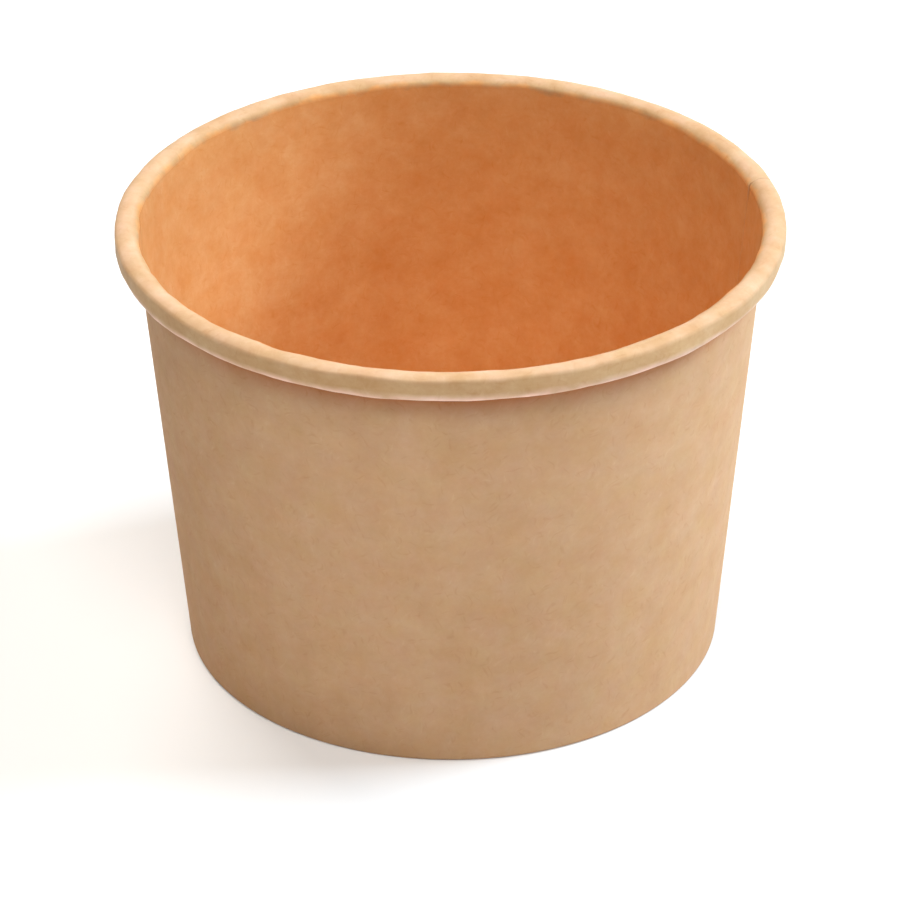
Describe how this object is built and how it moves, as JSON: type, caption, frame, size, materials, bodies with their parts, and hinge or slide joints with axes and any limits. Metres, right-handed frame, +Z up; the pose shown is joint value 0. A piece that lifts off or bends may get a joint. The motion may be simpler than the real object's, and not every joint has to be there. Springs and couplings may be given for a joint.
{
  "type": "paper bowl",
  "caption": "Small round paper bowl of kraft board: plain conical wall with a lapped side seam, rolled rim, and a recessed bottom disc sealed into a folded foot.",
  "frame": {"origin": "centre of the foot, on the table", "axes": "+Z up along the bowl's axis; the front, as pictured, faces -Y; the side seam's inner cut edge lies 13.7 degrees anticlockwise from +X"},
  "size_m": [0.09, 0.09, 0.0633],
  "materials": {
    "wall_board": "uncoated kraft board outside, thin polyethylene coat inside",
    "disc_board": "kraft board with a thin polyethylene coat on the food side"
  },
  "bodies": {
    "root": {"sidewall": "wall_board", "bottom_disc": "disc_board"}
  },
  "joints": []
}
